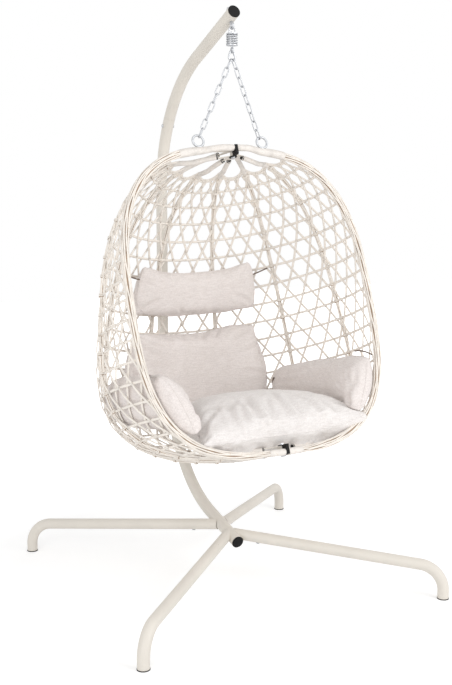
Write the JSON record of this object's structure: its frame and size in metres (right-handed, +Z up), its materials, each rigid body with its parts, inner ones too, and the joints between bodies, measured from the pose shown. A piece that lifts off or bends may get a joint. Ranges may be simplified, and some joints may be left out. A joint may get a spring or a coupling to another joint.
{
  "type": "hanging egg chair",
  "caption": "Hanging egg chair: cream four-legged C-post stand, sprung swivel and chains, folding open-weave basket with loose linen cushions.",
  "frame": {"origin": "on the ground at the middle of the footprint", "axes": "+Z up, the sitter looks along -Y, +X is to the right of someone facing the seat"},
  "size_m": [1.13, 1.1198, 1.9515],
  "materials": {
    "powder_coat": "fine matt powder coat, warm greige",
    "wicker": "round synthetic wicker, cream with a faint grain",
    "black_plastic": "moulded black, slightly satin",
    "zinc": "bright zinc plate",
    "linen": "linen-look weave, pale warm grey",
    "tape": "flat woven tape, taupe"
  },
  "bodies": {
    "stand": {"post_lower": "powder_coat", "post_upper": "powder_coat", "leg_sockets": "powder_coat", "leg_front_left": "powder_coat", "leg_front_right": "powder_coat", "leg_back_left": "powder_coat", "leg_back_right": "powder_coat", "foot_caps": "black_plastic", "post_end_cap": "black_plastic", "arm_end_cap": "black_plastic", "leg_bolts": "zinc", "post_bolt": "zinc", "eye_bolt": "zinc", "bolt_washers": "zinc"},
    "yoke": {"yoke": "zinc", "spring": "zinc"},
    "spring_washer": {"spring_washer": "zinc"},
    "swivel_eye": {"swivel_eye": "zinc"},
    "quick_link": {"quick_link": "zinc"},
    "chain_left": {"chain_left": "zinc"},
    "chain_right": {"chain_right": "zinc"},
    "hub": {"top_pin": "zinc", "bottom_pin": "zinc", "top_cover": "black_plastic", "bottom_cover": "black_plastic", "seat_cushion": "linen", "back_cushion": "linen", "head_pillow": "linen", "arm_cushion_left": "linen", "arm_cushion_right": "linen", "cushion_ties": "tape"},
    "rib_left_1": {"rib_left_1": "wicker", "hinge_tabs_left_1": "powder_coat", "weave_left_1": "wicker"},
    "rib_left_2": {"rib_left_2": "wicker", "hinge_tabs_left_2": "powder_coat", "weave_left_2": "wicker"},
    "rib_left_3": {"rib_left_3": "wicker", "hinge_tabs_left_3": "powder_coat", "weave_left_3": "wicker"},
    "rim_left": {"rim_left": "wicker", "hinge_tabs_rim_left": "powder_coat", "hang_ring_left": "wicker", "weave_left_4": "wicker"},
    "rib_right_1": {"rib_right_1": "wicker", "hinge_tabs_right_1": "powder_coat", "weave_right_1": "wicker"},
    "rib_right_2": {"rib_right_2": "wicker", "hinge_tabs_right_2": "powder_coat", "weave_right_2": "wicker"},
    "rib_right_3": {"rib_right_3": "wicker", "hinge_tabs_right_3": "powder_coat", "weave_right_3": "wicker"},
    "rim_right": {"rim_right": "wicker", "hinge_tabs_rim_right": "powder_coat", "hang_ring_right": "wicker", "weave_right_4": "wicker"}
  },
  "joints": [
    {"name": "swing", "type": "hinge", "parent": "stand", "child": "yoke", "pos_m": [0, -0.05, 1.88525], "axis": [1, 0, 0], "range_deg": [-12, 1.5]},
    {"name": "bounce", "type": "slide", "parent": "yoke", "child": "spring_washer", "axis": [0, 0, -1], "range_m": [-0.002, 0.014], "stiffness_N_per_m": 60000, "springref_m": -0.00422, "deforming": ["spring"]},
    {"name": "turn", "type": "hinge", "parent": "spring_washer", "child": "swivel_eye", "pos_m": [0, -0.05, 1.82525], "axis": [0, 0, 1], "continuous": true},
    {"name": "sway", "type": "hinge", "parent": "swivel_eye", "child": "quick_link", "pos_m": [0, -0.05, 1.80875], "axis": [0, 1, 0], "range_deg": [-2, 2]},
    {"name": "chain_left_lean", "type": "hinge", "parent": "quick_link", "child": "chain_left", "pos_m": [-0.0054, -0.05, 1.77803], "axis": [0, 1, 0], "range_deg": [-13.62, 0], "deforming": ["chain_left"]},
    {"name": "chain_right_lean", "type": "hinge", "parent": "quick_link", "child": "chain_right", "pos_m": [0.0054, -0.05, 1.77803], "axis": [0, 1, 0], "range_deg": [0, 13.62], "deforming": ["chain_right"]},
    {"name": "basket_shift", "type": "slide", "parent": "quick_link", "child": "hub", "axis": [0, -0.9859, 0.1671], "range_m": [0, 0.0945]},
    {"name": "rib_left_1_fold", "type": "hinge", "parent": "hub", "child": "rib_left_1", "pos_m": [0, -0.05, 1.488], "axis": [0, -0.342, -0.9397], "range_deg": [0, 5.86], "deforming": ["weave_left_1", "seat_cushion", "back_cushion", "head_pillow", "arm_cushion_left", "cushion_ties"]},
    {"name": "basket_fold", "type": "hinge", "parent": "rib_left_1", "child": "rib_left_2", "pos_m": [0, -0.05, 1.488], "axis": [0, -0.342, -0.9397], "range_deg": [0, 18.95], "deforming": ["weave_left_2"]},
    {"name": "rib_left_3_fold", "type": "hinge", "parent": "rib_left_2", "child": "rib_left_3", "pos_m": [0, -0.05, 1.488], "axis": [0, -0.342, -0.9397], "range_deg": [0, 18.95], "deforming": ["weave_left_3"]},
    {"name": "rim_left_fold", "type": "hinge", "parent": "rib_left_3", "child": "rim_left", "pos_m": [0, -0.05, 1.488], "axis": [0, -0.342, -0.9397], "range_deg": [0, 18.95], "deforming": ["weave_left_4"]},
    {"name": "rib_right_1_fold", "type": "hinge", "parent": "hub", "child": "rib_right_1", "pos_m": [0, -0.05, 1.488], "axis": [0, -0.342, -0.9397], "range_deg": [-5.86, 0], "deforming": ["weave_right_1", "arm_cushion_right"]},
    {"name": "rib_right_2_fold", "type": "hinge", "parent": "rib_right_1", "child": "rib_right_2", "pos_m": [0, -0.05, 1.488], "axis": [0, -0.342, -0.9397], "range_deg": [-18.95, 0], "deforming": ["weave_right_2"]},
    {"name": "rib_right_3_fold", "type": "hinge", "parent": "rib_right_2", "child": "rib_right_3", "pos_m": [0, -0.05, 1.488], "axis": [0, -0.342, -0.9397], "range_deg": [-18.95, 0], "deforming": ["weave_right_3"]},
    {"name": "rim_right_fold", "type": "hinge", "parent": "rib_right_3", "child": "rim_right", "pos_m": [0, -0.05, 1.488], "axis": [0, -0.342, -0.9397], "range_deg": [-18.95, 0], "deforming": ["weave_right_4"]}
  ],
  "couplings": [
    {"joint": "rib_left_1_fold", "follows": "basket_fold", "ratio": 0.30923},
    {"joint": "rib_left_3_fold", "follows": "basket_fold", "ratio": 1},
    {"joint": "rim_left_fold", "follows": "basket_fold", "ratio": 1},
    {"joint": "rib_right_1_fold", "follows": "basket_fold", "ratio": -0.30923},
    {"joint": "rib_right_2_fold", "follows": "basket_fold", "ratio": -1},
    {"joint": "rib_right_3_fold", "follows": "basket_fold", "ratio": -1},
    {"joint": "rim_right_fold", "follows": "basket_fold", "ratio": -1},
    {"joint": "basket_shift", "follows": "basket_fold", "m_per_rad": 0.28578},
    {"joint": "chain_left_lean", "follows": "basket_fold", "ratio": -0.71866},
    {"joint": "chain_right_lean", "follows": "basket_fold", "ratio": 0.71866}
  ]
}
